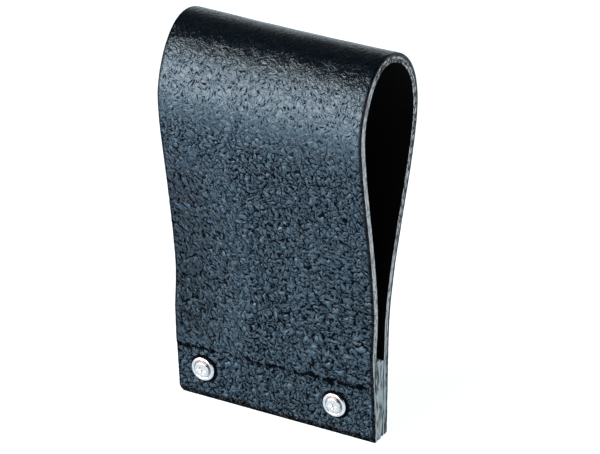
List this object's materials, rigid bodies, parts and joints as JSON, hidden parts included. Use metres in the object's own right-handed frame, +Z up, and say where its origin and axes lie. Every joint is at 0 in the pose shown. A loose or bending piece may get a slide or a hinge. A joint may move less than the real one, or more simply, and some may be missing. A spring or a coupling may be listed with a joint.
{
  "type": "belt loop",
  "caption": "Folded belt loop of lined pebbled leather: a tall teardrop loop whose ends are clamped on tapered spacers by rivets, to hang a case from a belt.",
  "frame": {"origin": "middle of the bounding box in X and Y, at the trimmed lower edge", "axes": "+Z up along the loop's height, +X across the strap's width to the right seen from the front, +Y to the back; the riveted front with the washers faces -Y"},
  "size_m": [0.06, 0.03, 0.1084],
  "materials": {
    "grain_leather": "pebbled, semi-gloss black with a blue cast",
    "lining_leather": "smooth matte black",
    "spacer_leather": "matte, fibrous cut edges",
    "nickel": "bright nickel plate"
  },
  "bodies": {
    "root": {"strap_outer": "grain_leather", "strap_lining": "lining_leather", "spacer_front": "spacer_leather", "spacer_rear": "spacer_leather", "rivet_left": "nickel", "rivet_right": "nickel", "washer_left": "nickel", "washer_right": "nickel"}
  },
  "joints": []
}
